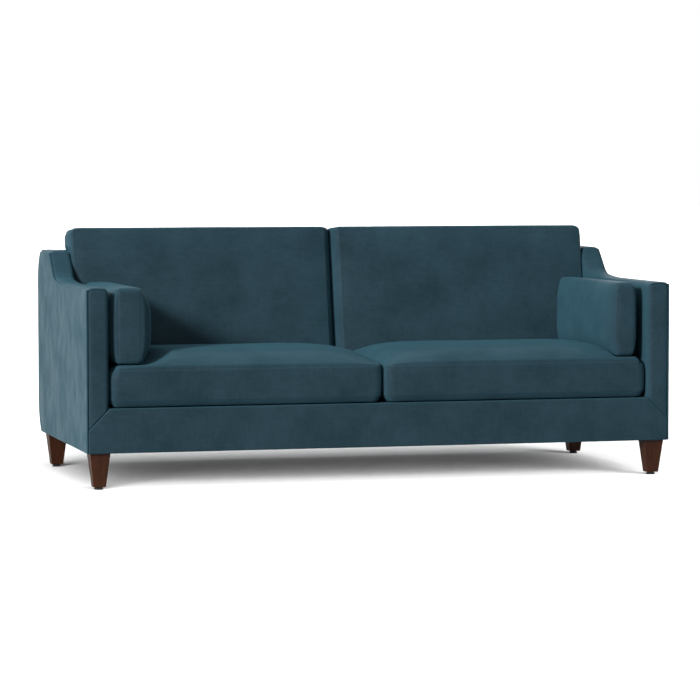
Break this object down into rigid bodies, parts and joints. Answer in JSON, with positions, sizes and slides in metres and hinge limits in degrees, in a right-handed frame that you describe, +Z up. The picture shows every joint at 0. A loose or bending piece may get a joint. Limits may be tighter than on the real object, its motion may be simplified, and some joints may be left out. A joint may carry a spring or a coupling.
{
  "type": "sofa",
  "caption": "Upholstered sofa with slim square arms that sweep up to the back, loose boxed seat and back cushions, arm pillows and tapered wooden legs.",
  "frame": {"origin": "on the floor under the middle of the sofa's bounding box", "axes": "+X to the right seen from the front, +Y from front to back, +Z up"},
  "size_m": [2.134, 1.008, 0.8904],
  "materials": {
    "velvet": "soft cut-pile velvet",
    "walnut": "dark satin stain",
    "glide_plastic": "moulded",
    "frame_timber": "planed, unfinished",
    "dowel_beech": "plain",
    "spring_steel": "drawn wire",
    "zinc_steel": "zinc plated",
    "zip_metal": "die cast",
    "zip_tape": "woven tape",
    "foam": "open-cell foam",
    "fibre_fill": "loose fibre",
    "webbing": "elastic webbing",
    "dust_cloth": "non-woven",
    "deck_cloth": "plain weave over felt"
  },
  "bodies": {
    "frame": {"arm_cover_left": "velvet", "arm_cover_right": "velvet", "arm_front_post_left": "frame_timber", "arm_front_post_right": "frame_timber", "arm_top_rail_left": "frame_timber", "arm_top_rail_right": "frame_timber", "back_centre_upright": "frame_timber", "back_lower_rail": "frame_timber", "back_post_left": "frame_timber", "back_post_right": "frame_timber", "back_seat_rail": "frame_timber", "back_top_rail": "frame_timber", "back_webbing": "webbing", "centre_seat_rail": "frame_timber", "corner_blocks": "frame_timber", "deck_pad": "deck_cloth", "dust_cover": "dust_cloth", "front_left_glide": "glide_plastic", "front_left_leg": "walnut", "front_rail_cover": "velvet", "front_right_glide": "glide_plastic", "front_right_leg": "walnut", "front_seat_rail": "frame_timber", "inside_back_cover": "velvet", "leg_bolts": "zinc_steel", "leg_plates": "zinc_steel", "outside_arm_panel_left": "velvet", "outside_arm_panel_right": "velvet", "outside_back_panel": "velvet", "plate_screws": "zinc_steel", "rail_dowels": "dowel_beech", "rear_left_glide": "glide_plastic", "rear_left_leg": "walnut", "rear_right_glide": "glide_plastic", "rear_right_leg": "walnut", "seat_springs": "spring_steel", "side_seat_rail_left": "frame_timber", "side_seat_rail_right": "frame_timber", "spring_clips": "spring_steel"},
    "seat_cushion_left": {"seat_cushion_cover_left": "velvet", "seat_cushion_core_left": "foam", "seat_cushion_zip_left": "zip_tape"},
    "back_cushion_left": {"back_cushion_cover_left": "velvet", "back_cushion_fill_left": "fibre_fill", "back_cushion_zip_left": "zip_tape"},
    "arm_pillow_left": {"arm_pillow_cover_left": "velvet", "arm_pillow_fill_left": "fibre_fill"},
    "seat_zip_slider_left": {"seat_cushion_zip_slider_left": "zip_metal"},
    "back_zip_slider_left": {"back_cushion_zip_slider_left": "zip_metal"},
    "seat_cushion_right": {"seat_cushion_cover_right": "velvet", "seat_cushion_core_right": "foam", "seat_cushion_zip_right": "zip_tape"},
    "back_cushion_right": {"back_cushion_cover_right": "velvet", "back_cushion_fill_right": "fibre_fill", "back_cushion_zip_right": "zip_tape"},
    "arm_pillow_right": {"arm_pillow_cover_right": "velvet", "arm_pillow_fill_right": "fibre_fill"},
    "seat_zip_slider_right": {"seat_cushion_zip_slider_right": "zip_metal"},
    "back_zip_slider_right": {"back_cushion_zip_slider_right": "zip_metal"}
  },
  "joints": [
    {"name": "seat_cushion_lift_left", "type": "slide", "parent": "frame", "child": "seat_cushion_left", "axis": [0, 0, 1], "range_m": [0, 0.45]},
    {"name": "back_cushion_lift_left", "type": "slide", "parent": "frame", "child": "back_cushion_left", "axis": [0, 0.1874, 0.9823], "range_m": [0, 0.56]},
    {"name": "arm_pillow_lift_left", "type": "slide", "parent": "seat_cushion_left", "child": "arm_pillow_left", "axis": [0, 0, 1], "range_m": [0, 0.3]},
    {"name": "seat_zip_left", "type": "slide", "parent": "seat_cushion_left", "child": "seat_zip_slider_left", "axis": [-1, 0, 0], "range_m": [0, 0.77]},
    {"name": "back_zip_left", "type": "slide", "parent": "back_cushion_left", "child": "back_zip_slider_left", "axis": [-1, 0, 0], "range_m": [0, 0.77]},
    {"name": "seat_cushion_lift_right", "type": "slide", "parent": "frame", "child": "seat_cushion_right", "axis": [0, 0, 1], "range_m": [0, 0.45]},
    {"name": "back_cushion_lift_right", "type": "slide", "parent": "frame", "child": "back_cushion_right", "axis": [0, 0.1874, 0.9823], "range_m": [0, 0.56]},
    {"name": "arm_pillow_lift_right", "type": "slide", "parent": "seat_cushion_right", "child": "arm_pillow_right", "axis": [0, 0, 1], "range_m": [0, 0.3]},
    {"name": "seat_zip_right", "type": "slide", "parent": "seat_cushion_right", "child": "seat_zip_slider_right", "axis": [1, 0, 0], "range_m": [0, 0.77]},
    {"name": "back_zip_right", "type": "slide", "parent": "back_cushion_right", "child": "back_zip_slider_right", "axis": [1, 0, 0], "range_m": [0, 0.77]}
  ]
}
